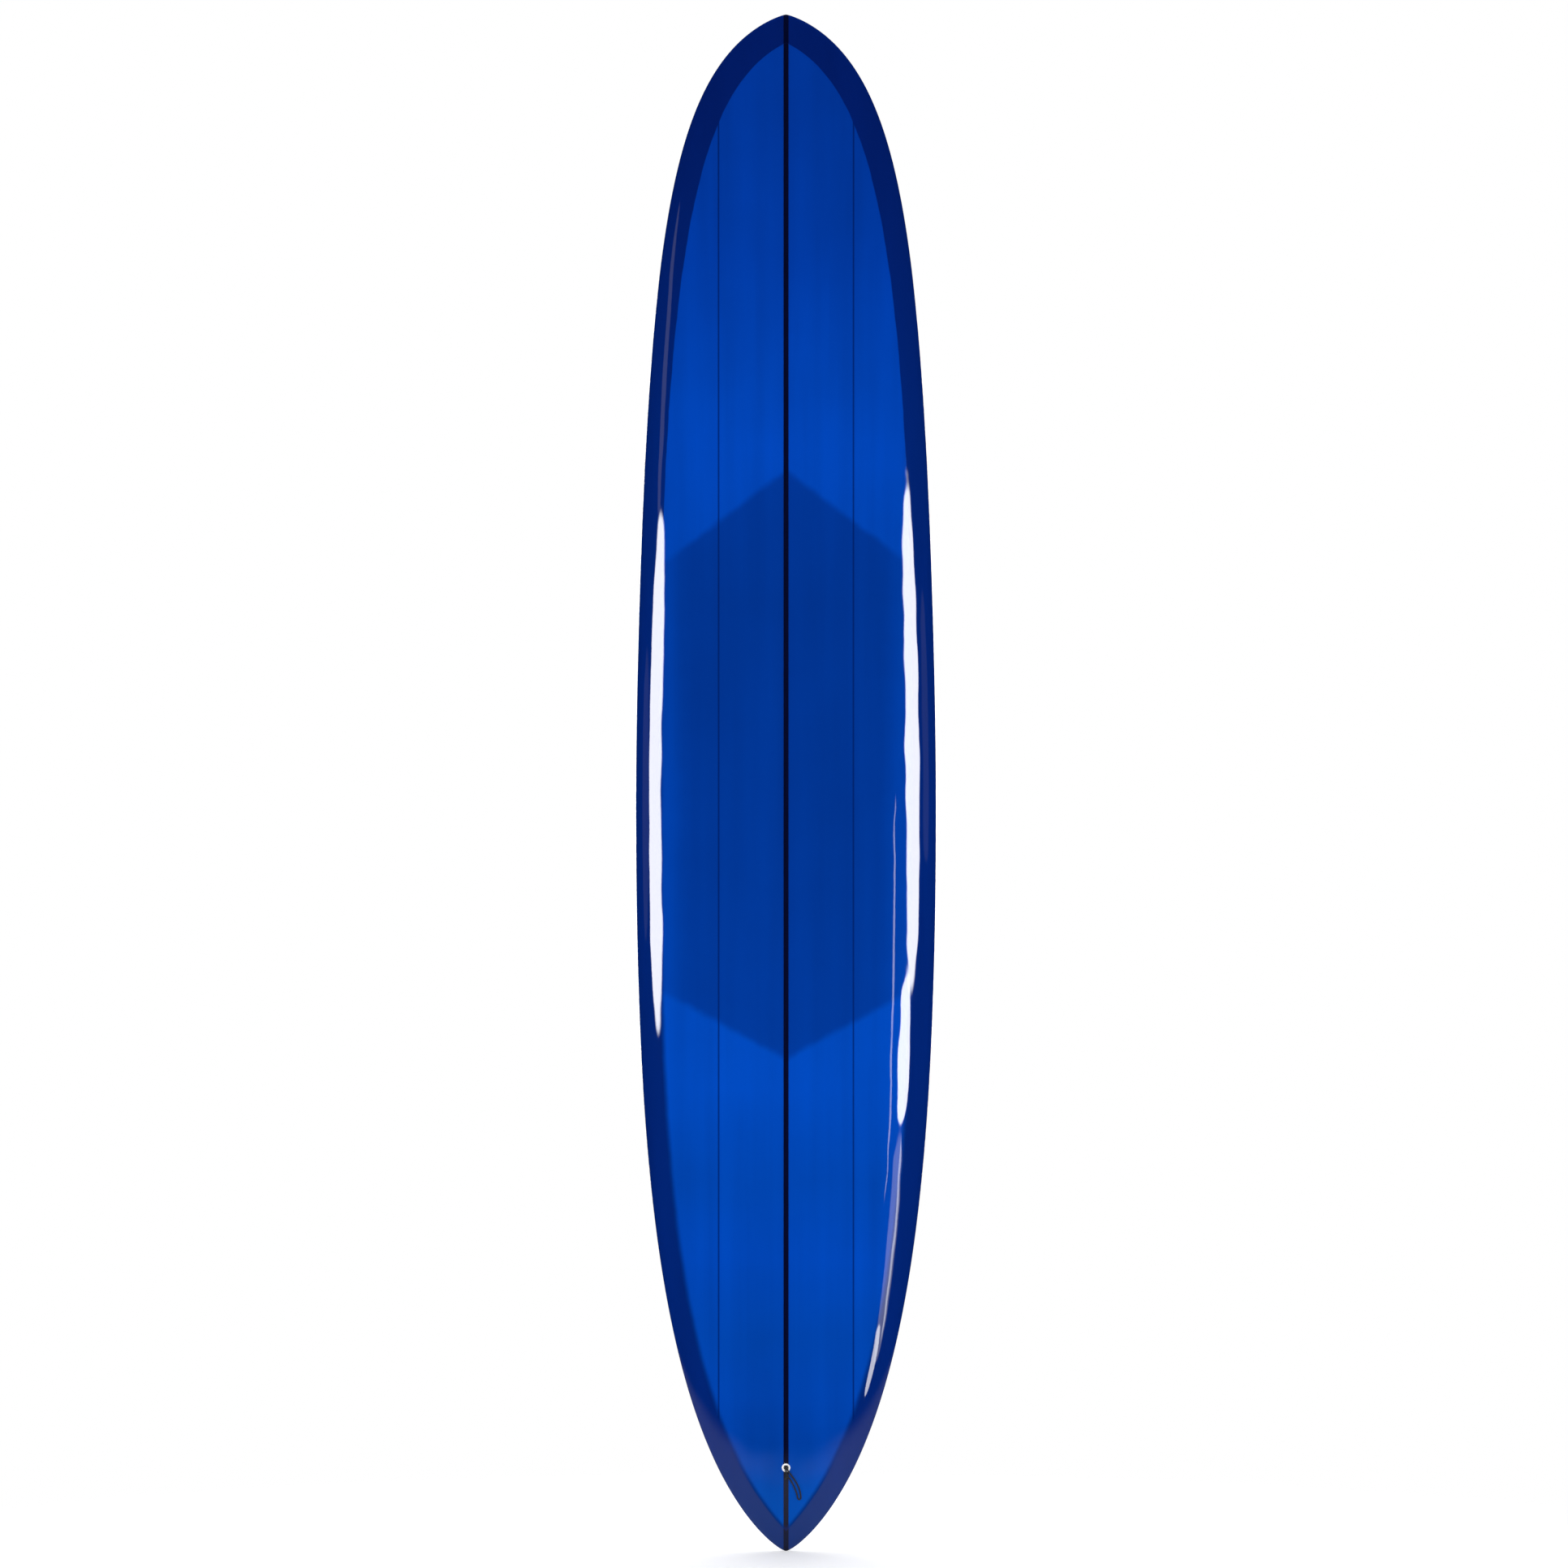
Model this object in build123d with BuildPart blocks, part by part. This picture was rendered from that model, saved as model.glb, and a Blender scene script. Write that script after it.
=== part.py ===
from build123d import *

import os
from math import cos, hypot, pi, radians, sqrt, tan

os.makedirs("parts", exist_ok=True)

# A 10 ft glider longboard, in millimetres. +Z runs up the stringer line from the tail to the nose,
# the deck faces -Y and the bottom faces +Y. The origin is the tip of the tail.

# ---- hull
LENGTH = 3048  # 10 ft 0 in
HALF_WIDTH = 299  # 23 1/2 in wide
WIDE_POINT = 1480  # height of the widest place
THICKNESS = 79.4  # 3 1/8 in at its thickest
THICK_POINT = 1560
TAIL_THICKNESS = 12
NOSE_THICKNESS = 14
FOIL_POWER = 3.2  # how late the foil thins towards the tips
FLAT_POINT = 1350  # where the rocker is flat
TAIL_ROCKER = 65
TAIL_ROCKER_POWER = 2.3
NOSE_ROCKER = 112
NOSE_ROCKER_POWER = 2.6
TIP_RADIUS = 8  # rounding of the tips, seen from the side
APEX_SHARE = 0.45  # height of the rail's apex above the bottom, as a share of the thickness
DECK_CROWN = 0.60  # how far the deck stays level across the board, as a share of the half width
DECK_RAIL = 0.60  # how far the upper rail stays upright, as a share of its height
BOTTOM_FLAT = 0.80
BOTTOM_RAIL = 0.60
SECTIONS = 36
HALVINGS = 50  # of the span searched for a curve's crossing

# Bezier control points of the outline's right half, as (half width, height)
NOSE_OUTLINE = [
    (HALF_WIDTH, WIDE_POINT),
    (HALF_WIDTH, 2062),
    (249, 2740),
    (269, 2969),
    (13, LENGTH),
    (0, LENGTH),
]
TAIL_OUTLINE = [(HALF_WIDTH, WIDE_POINT), (HALF_WIDTH, 554), (227, 143), (20, 0), (0, 0)]

# ---- laminate
SHELL = 1.3  # cloth, resin and gloss coat together
PATCH = 0.5  # the deck patch, under the deck laminate
LAP_HALF_WIDTH = 253  # of the deck panel inside the cut lap
LAP_NOSE = 2992
LAP_TAIL = 40
NOSE_LAP = [(LAP_HALF_WIDTH, WIDE_POINT), (LAP_HALF_WIDTH, 2590), (178, 2904), (0, LAP_NOSE)]
TAIL_LAP = [(LAP_HALF_WIDTH, WIDE_POINT), (LAP_HALF_WIDTH, 950), (255, 300), (0, LAP_TAIL)]
PATCH_TOP = 2146
PATCH_TOP_CORNER = 1961
PATCH_LOW_CORNER = 1110
PATCH_LOW = 977
PATCH_HALF_WIDTH = 246
TAIL_RESIN = 12  # length of solid resin and cloth at each tip
NOSE_RESIN = 14
REACH = 300  # further than the board reaches to either side

# ---- stringers
CENTRE_STRINGER = 9.5  # 3/8 in
SIDE_STRINGER = 3.2  # 1/8 in
SIDE_STRINGER_PLACE = 133.8  # 5 1/4 in from the centre
STRINGER_CUT_LOW = 203  # heights just inside the two ends of the fin box, where the stringer is cut
STRINGER_CUT_HIGH = 467

# ---- leash plug and string
PLUG_HEIGHT = 166
CUP_RADIUS = 8.4
CUP_DEPTH = 15
WELL_RADIUS = 5
WELL_DEPTH = 12
MOUTH_CHAMFER = 0.4
BAR_RADIUS = 1.2
BAR_LENGTH = 14
BAR_DEPTH = 5
PLUG_BED = 2  # resin round and under the cup
CORD = 3
ARC_SHARE = 0.45  # of the shorter run beside it, taken by each arc of the string
KNOT_LENGTH = 12.4
KNOT_WIDTH = 8.4
KNOT_PLACE = (1.5, 150, 4.4)

# ---- fin box
BOX_HEIGHT = 334  # height of the box's middle
BOX_LENGTH = 267  # 10 1/2 in
BOX_WIDTH = 25.4
BOX_DEPTH = 25
SLOT_LENGTH = 254
SLOT_WIDTH = 9.6
SLOT_DEPTH = 19
GROOVE_LENGTH = 238
GROOVE_WIDTH = 15.6
GROOVE_HEIGHT = 4.6
GROOVE_DEPTH = 12  # from the bottom of the board to the groove's middle
DROP_IN_LENGTH = 16
DROP_IN_PLACE = 110
BOX_BED = 2
PROUD = 6  # blanks stand this far out before they are sanded flush

# ---- fin, in the box's own axes: x towards the nose, z out of the bottom
FIN_THICKNESS = 9
FIN_HEIGHT = 236
FIN_CLEARANCE = 0.8  # under the blade
TAB_TAIL = -104
TAB_NOSE = 58
TAB_DEPTH = 18.4
LUG_LENGTH = 20
LUG_LOW = -9.3
LUG_HIGH = -3.4
FIN_TIP_THICKNESS = 3
FIN_TOP = FIN_HEIGHT - 2  # height of its last section, which the tip's rounding ends on
FIN_STATIONS = 12
FOIL_TAPER = 0.4  # where the section starts to thin, as a share of the chord from its trailing edge
TRAILING_SHARE = 0.1  # thickness left at the trailing edge, as a share of the section's
LEADING_EDGE = [(57, 0), (38, 90), (-26, 222), (-176, FIN_HEIGHT)]
TRAILING_EDGE = [(-112, 0), (-84, 66), (-104, 178), (-188, FIN_HEIGHT)]
PIN_RADIUS = 2
PIN_LENGTH = 15
PIN_PLACE = -90
PLATE_LENGTH = 11
PLATE_WIDTH = 15
PLATE_THICKNESS = 3.5
PLATE_TOP = -10
SCREW_PLACE = 69
SCREW_RADIUS = 2
SCREW_TIP = -16.5
HEAD_RADIUS = 3.9
HEAD_THICKNESS = 2.2
RECESS_WIDTH = 1.1
RECESS_LENGTH = 4.6
RECESS_DEPTH = 1.3
THREAD_GAP = 0.05


# ---- curves that shape the board
def bezier_at(points, share):
    """The point a share of the way along a Bezier curve."""
    while len(points) > 1:
        pairs = zip(points, points[1:])
        points = [(a + (c - a) * share, b + (d - b) * share) for (a, b), (c, d) in pairs]
    return points[0]


def crossing(points, value, axis):
    """The point of a Bezier curve where its coordinate on that axis is the value."""
    rising = points[-1][axis] > points[0][axis]
    low, high = 0.0, 1.0
    for _ in range(HALVINGS):
        share = (low + high) / 2
        below = bezier_at(points, share)[axis] < value
        if below == rising:
            low = share
        else:
            high = share
    return bezier_at(points, (low + high) / 2)


def slope_of(line, z):
    return (line(z + 1) - line(z - 1)) / 2


def half_width(z):
    outline = NOSE_OUTLINE if z > WIDE_POINT else TAIL_OUTLINE
    return crossing(outline, z, axis=1)[0]


def thickness(z):
    end, end_thickness = (LENGTH, NOSE_THICKNESS) if z > THICK_POINT else (0, TAIL_THICKNESS)
    share = (z - THICK_POINT) / (end - THICK_POINT)
    return end_thickness + (THICKNESS - end_thickness) * (1 - share**FOIL_POWER)


def rocker(z):
    if z < FLAT_POINT:
        return TAIL_ROCKER * ((FLAT_POINT - z) / FLAT_POINT) ** TAIL_ROCKER_POWER
    return NOSE_ROCKER * ((z - FLAT_POINT) / (LENGTH - FLAT_POINT)) ** NOSE_ROCKER_POWER


def apex_y(z):
    """The rail's apex line, which passes through the origin."""
    return TAIL_ROCKER - rocker(z) - APEX_SHARE * (thickness(z) - TAIL_THICKNESS)


def tip_share(z):
    """Closes the thickness in a half round at both tips."""
    distance = min(z, LENGTH - z, TIP_RADIUS)
    return sqrt(1 - (1 - distance / TIP_RADIUS) ** 2)


def quarters(z, inset=0):
    """Control points, as (x, y), of the right half's deck and bottom curves in the section at z."""
    slope = slope_of(half_width, z) if inset else 0
    wide = half_width(z) - inset * hypot(1, slope)
    apex = apex_y(z)
    thick = thickness(z) * tip_share(z)
    deck = apex - (1 - APEX_SHARE) * thick + inset
    bottom = apex + APEX_SHARE * thick - inset
    upper = [
        (0, deck),
        (DECK_CROWN * wide, deck),
        (wide, apex + (1 - DECK_RAIL) * (deck - apex)),
        (wide, apex),
    ]
    lower = [
        (wide, apex),
        (wide, apex + BOTTOM_RAIL * (bottom - apex)),
        (BOTTOM_FLAT * wide, bottom),
        (0, bottom),
    ]
    return upper, lower


def deck_y(x, z):
    return crossing(quarters(z)[0], abs(x), axis=0)[1]


def bottom_y(z):
    return quarters(z)[1][-1][1]


def section(z, inset):
    """The closed section at z, in four curves that meet at the rails and on the stringer line."""
    upper, lower = quarters(z, inset)
    right = [[(x, y, z) for x, y in curve] for curve in (upper, lower)]
    left = [[(-x, y, z) for x, y in reversed(curve)] for curve in (lower, upper)]
    return Face(Wire([Bezier(*points) for points in right + left]))


def hull(inset=0):
    """The board's solid this far inside its outer surface, lofted through its sections."""
    low = TAIL_RESIN if inset else 0
    high = LENGTH - NOSE_RESIN if inset else LENGTH
    middle, reach = (high + low) / 2, (high - low) / 2
    heights = [middle - reach * cos(pi * step / SECTIONS) for step in range(SECTIONS + 1)]
    if inset:
        return loft([section(z, inset) for z in heights], clean=False)
    tail = Vertex(0, apex_y(0), 0)
    nose = Vertex(0, apex_y(LENGTH), LENGTH)
    return loft([tail, *[section(z, inset) for z in heights[1:-1]], nose], clean=False)


# ---- blanks that several pieces are cut from
outer = hull()
core = hull(SHELL)
patch_layer = hull(SHELL - PATCH)

with BuildPart() as panel_block:
    with BuildSketch(Plane.XZ):
        with BuildLine():
            Bezier(*NOSE_LAP)
            Bezier(*TAIL_LAP)
            mirror(about=Plane.YZ)
        make_face()
    extrude(amount=REACH, both=True)

with BuildPart() as patch_block:
    with BuildSketch(Plane.XZ):
        Polygon(
            (0, PATCH_TOP),
            (PATCH_HALF_WIDTH, PATCH_TOP_CORNER),
            (PATCH_HALF_WIDTH, PATCH_LOW_CORNER),
            (0, PATCH_LOW),
            (-PATCH_HALF_WIDTH, PATCH_LOW_CORNER),
            (-PATCH_HALF_WIDTH, PATCH_TOP_CORNER),
            align=None,
        )
    extrude(amount=REACH, both=True)

with BuildPart() as shell:
    add(outer, clean=False)
    add(core, mode=Mode.SUBTRACT, clean=False)

# Inside the lap line the shell is two separate skins, the deck's and the bottom's.
with BuildPart() as deck_panel:
    add(shell, clean=False)
    add(panel_block, mode=Mode.INTERSECT, clean=False)
deck_skin = deck_panel.solids().sort_by(Axis.Y)[0]

# ---- planes of the plug (z out of the deck) and of the fin box (z out of the bottom)
plug_slope = slope_of(lambda z: deck_y(0, z), PLUG_HEIGHT)
plug_plane = Plane(
    origin=(0, deck_y(0, PLUG_HEIGHT), PLUG_HEIGHT),
    x_dir=(0, plug_slope, 1),
    z_dir=(0, -1, plug_slope),
)
box_slope = slope_of(bottom_y, BOX_HEIGHT)
box_plane = Plane(
    origin=(0, bottom_y(BOX_HEIGHT), BOX_HEIGHT),
    x_dir=(0, box_slope, 1),
    z_dir=(0, 1, -box_slope),
)

with BuildPart() as plug_pocket:
    with BuildSketch(plug_plane.offset(-CUP_DEPTH - PLUG_BED)):
        Circle(CUP_RADIUS + PLUG_BED)
    extrude(amount=CUP_DEPTH + PLUG_BED + PROUD)

with BuildPart() as cup_blank:
    with BuildSketch(plug_plane.offset(-CUP_DEPTH)):
        Circle(CUP_RADIUS)
    extrude(amount=CUP_DEPTH + PROUD)

with BuildPart() as box_pocket:
    with BuildSketch(box_plane.offset(-BOX_DEPTH - BOX_BED)):
        SlotOverall(BOX_LENGTH + 2 * BOX_BED, BOX_WIDTH + 2 * BOX_BED)
    extrude(amount=BOX_DEPTH + BOX_BED + PROUD)

with BuildPart() as box_blank:
    with BuildSketch(box_plane.offset(-BOX_DEPTH)):
        SlotOverall(BOX_LENGTH, BOX_WIDTH)
    extrude(amount=BOX_DEPTH + PROUD)


# ---- foam and stringers
def core_between(low, high):
    """The core between two planes across the board."""
    with BuildPart() as piece:
        add(core, clean=False)
        with BuildSketch(Plane.XY):
            with Locations(((low + high) / 2, 0)):
                Rectangle(high - low, 2 * REACH)
        extrude(amount=LENGTH, mode=Mode.INTERSECT, clean=False)
    return piece.part


centre_face = CENTRE_STRINGER / 2
side_inner_face = SIDE_STRINGER_PLACE - SIDE_STRINGER / 2
side_outer_face = SIDE_STRINGER_PLACE + SIDE_STRINGER / 2

# The centre stringer is one strip of wood, held here as three lengths so that none bends round the fin box.
with BuildPart() as stringer_strip:
    add(core_between(-centre_face, centre_face), clean=False)
    add(plug_pocket, mode=Mode.SUBTRACT, clean=False)
    add(box_pocket, mode=Mode.SUBTRACT, clean=False)

with BuildPart() as centre_stringer:
    add(stringer_strip.part, clean=False)
    split(bisect_by=Plane.XY.offset(STRINGER_CUT_HIGH), keep=Keep.TOP)

with BuildPart() as centre_stringer_over_box:
    add(stringer_strip.part, clean=False)
    split(bisect_by=Plane.XY.offset(STRINGER_CUT_LOW), keep=Keep.TOP)
    split(bisect_by=Plane.XY.offset(STRINGER_CUT_HIGH), keep=Keep.BOTTOM)

with BuildPart() as centre_stringer_tail:
    add(stringer_strip.part, clean=False)
    split(bisect_by=Plane.XY.offset(STRINGER_CUT_LOW), keep=Keep.BOTTOM)

with BuildPart() as foam_inner_right:
    add(core_between(centre_face, side_inner_face), clean=False)
    add(plug_pocket, mode=Mode.SUBTRACT, clean=False)
    add(box_pocket, mode=Mode.SUBTRACT, clean=False)

with BuildPart() as foam_inner_left:
    mirror(foam_inner_right.part, about=Plane.YZ)

with BuildPart() as right_stringer:
    add(core_between(side_inner_face, side_outer_face), clean=False)

with BuildPart() as left_stringer:
    mirror(right_stringer.part, about=Plane.YZ)

with BuildPart() as foam_outer_right:
    add(core_between(side_outer_face, REACH), clean=False)

with BuildPart() as foam_outer_left:
    mirror(foam_outer_right.part, about=Plane.YZ)

# ---- laminates
with BuildPart() as deck_patch:
    add(deck_skin, clean=False)
    add(patch_block, mode=Mode.INTERSECT, clean=False)
    add(patch_layer, mode=Mode.INTERSECT, clean=False)

with BuildPart() as deck_laminate:
    add(deck_skin, clean=False)
    add(deck_patch, mode=Mode.SUBTRACT, clean=False)
    add(cup_blank, mode=Mode.SUBTRACT, clean=False)

with BuildPart() as bottom_laminate:
    add(shell, clean=False)
    add(deck_skin, mode=Mode.SUBTRACT, clean=False)
    add(box_pocket, mode=Mode.SUBTRACT, clean=False)

# ---- leash plug: a white cup with a bar across its well, set in a bed of resin
bar_plane = Plane(
    origin=plug_plane.from_local_coords((0, 0, -BAR_DEPTH)),
    x_dir=plug_plane.x_dir,
    z_dir=plug_plane.y_dir,
)

with BuildPart() as leash_plug_pin:
    with BuildSketch(bar_plane):
        Circle(BAR_RADIUS)
    extrude(amount=BAR_LENGTH / 2, both=True)

with BuildPart() as leash_plug_cup:
    add(cup_blank)
    add(outer, mode=Mode.INTERSECT, clean=False)
    with BuildSketch(plug_plane.offset(-WELL_DEPTH)):
        Circle(WELL_RADIUS)
    extrude(amount=WELL_DEPTH + PROUD, mode=Mode.SUBTRACT)
    with BuildSketch(plug_plane.offset(-MOUTH_CHAMFER)):
        Circle(WELL_RADIUS)
    extrude(amount=PROUD, taper=-45, mode=Mode.SUBTRACT)
    add(leash_plug_pin, mode=Mode.SUBTRACT)

with BuildPart() as leash_plug_resin_bed:
    add(plug_pocket)
    add(core, mode=Mode.INTERSECT, clean=False)
    add(cup_blank, mode=Mode.SUBTRACT)


# ---- leash string: a loop of cord round the bar, whose two ends meet in a knot beside the plug
def over_deck(x, z, height):
    """A point this high above the deck."""
    return (x, deck_y(x, z) - height, z)


# (x, z, height over the deck): out of the knot, round the bar, down the deck, round and back
STRING_ROUTE = [
    (1.2, 150.4, 4.2),
    (0.2, 156.4, 3.2),
    (0.0, 163.0, 2.6),
    (0.0, 163.1, -8.2),
    (0.0, 168.9, -8.4),
    (0.2, 169.0, 5.8),
    (3.8, 160.6, 7.0),
    (8.8, 153.6, 5.0),
    (13.6, 147.0, 3.0),
    (18.6, 140.0, 2.1),
    (23.0, 131.6, 1.8),
    (26.6, 123.0, 1.8),
    (29.0, 113.8, 1.8),
    (29.8, 103.6, 1.8),
    (23.4, 102.9, 1.8),
    (21.9, 113.3, 1.8),
    (18.4, 123.0, 1.8),
    (14.2, 132.2, 1.9),
    (10.2, 140.2, 2.5),
    (6.2, 145.6, 3.4),
    (2.2, 149.4, 4.4),
]
string_points = [Vector(over_deck(*point)) for point in STRING_ROUTE]
string_radii = []
for before, corner, after in zip(string_points, string_points[1:], string_points[2:]):
    turn = (corner - before).get_angle(after - corner)
    run = min((corner - before).length, (after - corner).length)
    string_radii.append(ARC_SHARE * run / tan(radians(turn) / 2))
    print("string corner", round(turn), "degrees, radius", round(string_radii[-1], 2))

with BuildPart() as leash_string:
    with BuildLine() as string_line:
        FilletPolyline(*string_points, radius=string_radii)
    with BuildSketch(Plane(string_points[0], z_dir=string_points[1] - string_points[0])):
        Circle(CORD / 2)
    sweep()
string_length = string_line.wires()[0].length
print("string length", round(string_length, 1))
print("string volume", round(leash_string.part.volume, 1), round(pi * CORD**2 / 4 * string_length, 1))

knot_plane = Plane(origin=over_deck(*KNOT_PLACE), x_dir=plug_plane.x_dir, z_dir=plug_plane.z_dir)
with BuildPart() as leash_string_knot:
    with BuildSketch(knot_plane):
        Ellipse(KNOT_LENGTH / 2, KNOT_WIDTH / 2)
        split(bisect_by=Plane.XZ)
    revolve(axis=Axis(knot_plane.origin, knot_plane.x_dir))

# ---- fin box: a slot with a groove along each side, and a gap to drop the pin and plate in
with BuildPart() as fin_box:
    add(box_blank)
    add(outer, mode=Mode.INTERSECT, clean=False)
    with BuildSketch(box_plane.offset(-SLOT_DEPTH)):
        SlotOverall(SLOT_LENGTH, SLOT_WIDTH)
    extrude(amount=SLOT_DEPTH + PROUD, mode=Mode.SUBTRACT)
    with BuildSketch(box_plane.offset(-GROOVE_DEPTH - GROOVE_HEIGHT / 2)):
        Rectangle(GROOVE_LENGTH, GROOVE_WIDTH)
    extrude(amount=GROOVE_HEIGHT, mode=Mode.SUBTRACT)
    with BuildSketch(box_plane.offset(-GROOVE_DEPTH)):
        with Locations((DROP_IN_PLACE, 0)):
            Rectangle(DROP_IN_LENGTH, GROOVE_WIDTH)
    extrude(amount=GROOVE_DEPTH + PROUD, mode=Mode.SUBTRACT)

with BuildPart() as fin_box_resin_bed:
    add(box_pocket)
    add(outer, mode=Mode.INTERSECT, clean=False)
    add(box_blank, mode=Mode.SUBTRACT)


# ---- fin
def foil_section(height):
    """Points of one side's curve of the fin's section, from the leading to the trailing edge."""
    nose = crossing(LEADING_EDGE, height, axis=1)[0]
    tail = crossing(TRAILING_EDGE, height, axis=1)[0]
    chord = nose - tail
    half = (FIN_THICKNESS - (FIN_THICKNESS - FIN_TIP_THICKNESS) * height / FIN_HEIGHT) / 2
    handle = half * 4 / 3  # a cubic curve rises to three quarters of its two middle points
    return [(nose, 0), (nose, handle), (tail + FOIL_TAPER * chord, handle), (tail, TRAILING_SHARE * half)]


with BuildPart() as fin_pin:
    pin_centre = box_plane.from_local_coords((PIN_PLACE, 0, -GROOVE_DEPTH))
    with BuildSketch(Plane(pin_centre, x_dir=box_plane.x_dir, z_dir=box_plane.y_dir)):
        Circle(PIN_RADIUS)
    extrude(amount=PIN_LENGTH / 2, both=True)

with BuildPart() as fin:
    for step in range(FIN_STATIONS + 1):
        rise = sqrt(1 - (1 - step / FIN_STATIONS) ** 2)
        height = FIN_CLEARANCE + (FIN_TOP - FIN_CLEARANCE) * rise
        curve = foil_section(height)
        with BuildSketch(box_plane.offset(height)):
            with BuildLine():
                Bezier(*curve)
                Line(curve[-1], (curve[-1][0], -curve[-1][1]))
                Bezier(*[(x, -y) for x, y in curve])
            make_face()
    loft()
    with BuildSketch(box_plane.offset(-TAB_DEPTH)):
        with Locations(((TAB_NOSE + TAB_TAIL) / 2, 0)):
            Rectangle(TAB_NOSE - TAB_TAIL, FIN_THICKNESS)
    extrude(amount=TAB_DEPTH + FIN_CLEARANCE)
    with BuildSketch(box_plane.offset(LUG_LOW)):
        with Locations((TAB_NOSE + LUG_LENGTH / 2, 0)):
            Rectangle(LUG_LENGTH, FIN_THICKNESS)
    extrude(amount=LUG_HIGH - LUG_LOW)
    with BuildSketch(box_plane.offset(LUG_LOW)):
        with Locations((SCREW_PLACE, 0)):
            Circle(SCREW_RADIUS + THREAD_GAP)
    extrude(amount=LUG_HIGH - LUG_LOW, mode=Mode.SUBTRACT)
    add(fin_pin, mode=Mode.SUBTRACT)

with BuildPart() as fin_plate:
    with BuildSketch(box_plane.offset(PLATE_TOP - PLATE_THICKNESS)):
        with Locations((SCREW_PLACE, 0)):
            Rectangle(PLATE_LENGTH, PLATE_WIDTH)
            Circle(SCREW_RADIUS + THREAD_GAP, mode=Mode.SUBTRACT)
    extrude(amount=PLATE_THICKNESS)

with BuildPart() as fin_screw:
    with BuildSketch(box_plane.offset(SCREW_TIP)):
        with Locations((SCREW_PLACE, 0)):
            Circle(SCREW_RADIUS)
    extrude(amount=LUG_HIGH - SCREW_TIP)
    with BuildSketch(box_plane.offset(LUG_HIGH)):
        with Locations((SCREW_PLACE, 0)):
            Circle(HEAD_RADIUS)
    extrude(amount=HEAD_THICKNESS)
    with BuildSketch(box_plane.offset(LUG_HIGH + HEAD_THICKNESS - RECESS_DEPTH)):
        with Locations((SCREW_PLACE, 0)):
            Rectangle(RECESS_LENGTH, RECESS_WIDTH)
            Rectangle(RECESS_WIDTH, RECESS_LENGTH)
    extrude(amount=PROUD, mode=Mode.SUBTRACT)

# ---- the finished pieces
pieces = {
    "foam_outer_left": foam_outer_left,
    "foam_inner_left": foam_inner_left,
    "foam_inner_right": foam_inner_right,
    "foam_outer_right": foam_outer_right,
    "centre_stringer": centre_stringer,
    "centre_stringer_over_box": centre_stringer_over_box,
    "centre_stringer_tail": centre_stringer_tail,
    "left_stringer": left_stringer,
    "right_stringer": right_stringer,
    "bottom_laminate": bottom_laminate,
    "deck_laminate": deck_laminate,
    "deck_patch": deck_patch,
    "leash_plug_cup": leash_plug_cup,
    "leash_plug_pin": leash_plug_pin,
    "leash_plug_resin_bed": leash_plug_resin_bed,
    "leash_string": leash_string,
    "leash_string_knot": leash_string_knot,
    "fin_box": fin_box,
    "fin_box_resin_bed": fin_box_resin_bed,
    "fin": fin,
    "fin_pin": fin_pin,
    "fin_plate": fin_plate,
    "fin_screw": fin_screw,
}
for name, piece in pieces.items():
    piece.part.label = name
    export_step(piece.part, f"parts/{name}.step")

print("box plane", box_plane.origin, box_plane.x_dir, box_plane.z_dir)
print("plug plane", plug_plane.origin, plug_plane.x_dir, plug_plane.z_dir)
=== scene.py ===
from math import cos, pi, sin

import bmesh
import bpy
import numpy as np
from mathutils import Matrix, Vector


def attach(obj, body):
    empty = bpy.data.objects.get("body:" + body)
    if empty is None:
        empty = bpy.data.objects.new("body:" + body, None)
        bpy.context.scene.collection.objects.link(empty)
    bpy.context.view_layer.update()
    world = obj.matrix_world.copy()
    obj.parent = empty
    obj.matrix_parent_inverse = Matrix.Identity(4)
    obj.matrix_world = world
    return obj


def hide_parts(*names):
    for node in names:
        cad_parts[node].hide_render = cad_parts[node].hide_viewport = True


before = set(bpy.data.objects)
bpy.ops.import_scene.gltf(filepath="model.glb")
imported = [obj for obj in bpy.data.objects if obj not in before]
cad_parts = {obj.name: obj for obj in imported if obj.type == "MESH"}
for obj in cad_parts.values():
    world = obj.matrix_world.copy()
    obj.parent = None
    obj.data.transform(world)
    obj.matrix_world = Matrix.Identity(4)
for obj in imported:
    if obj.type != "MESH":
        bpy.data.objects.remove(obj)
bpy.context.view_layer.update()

# A 10 ft glider longboard, in metres. +Z runs up the stringer line from the tail to the nose, the deck
# faces -Y and the bottom faces +Y. The origin is the tip of the tail.

# ---- hull, the same as the CAD model's
LENGTH = 3.048
HALF_WIDTH = 0.299
WIDE_POINT = 1.480
THICKNESS = 0.0794
THICK_POINT = 1.560
TAIL_THICKNESS = 0.012
NOSE_THICKNESS = 0.014
FOIL_POWER = 3.2
FLAT_POINT = 1.350
TAIL_ROCKER = 0.065
TAIL_ROCKER_POWER = 2.3
NOSE_ROCKER = 0.112
NOSE_ROCKER_POWER = 2.6
TIP_RADIUS = 0.008
APEX_SHARE = 0.45
DECK_CROWN = 0.60
DECK_RAIL = 0.60
BOTTOM_FLAT = 0.80
BOTTOM_RAIL = 0.60

# Each outline or lap is a Bezier curve: its control points as (half width, height), from the wide point on.
NOSE_OUTLINE = [
    (HALF_WIDTH, WIDE_POINT),
    (HALF_WIDTH, 2.062),
    (0.249, 2.740),
    (0.269, 2.969),
    (0.013, LENGTH),
    (0, LENGTH),
]
TAIL_OUTLINE = [(HALF_WIDTH, WIDE_POINT), (HALF_WIDTH, 0.554), (0.227, 0.143), (0.020, 0), (0, 0)]

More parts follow.
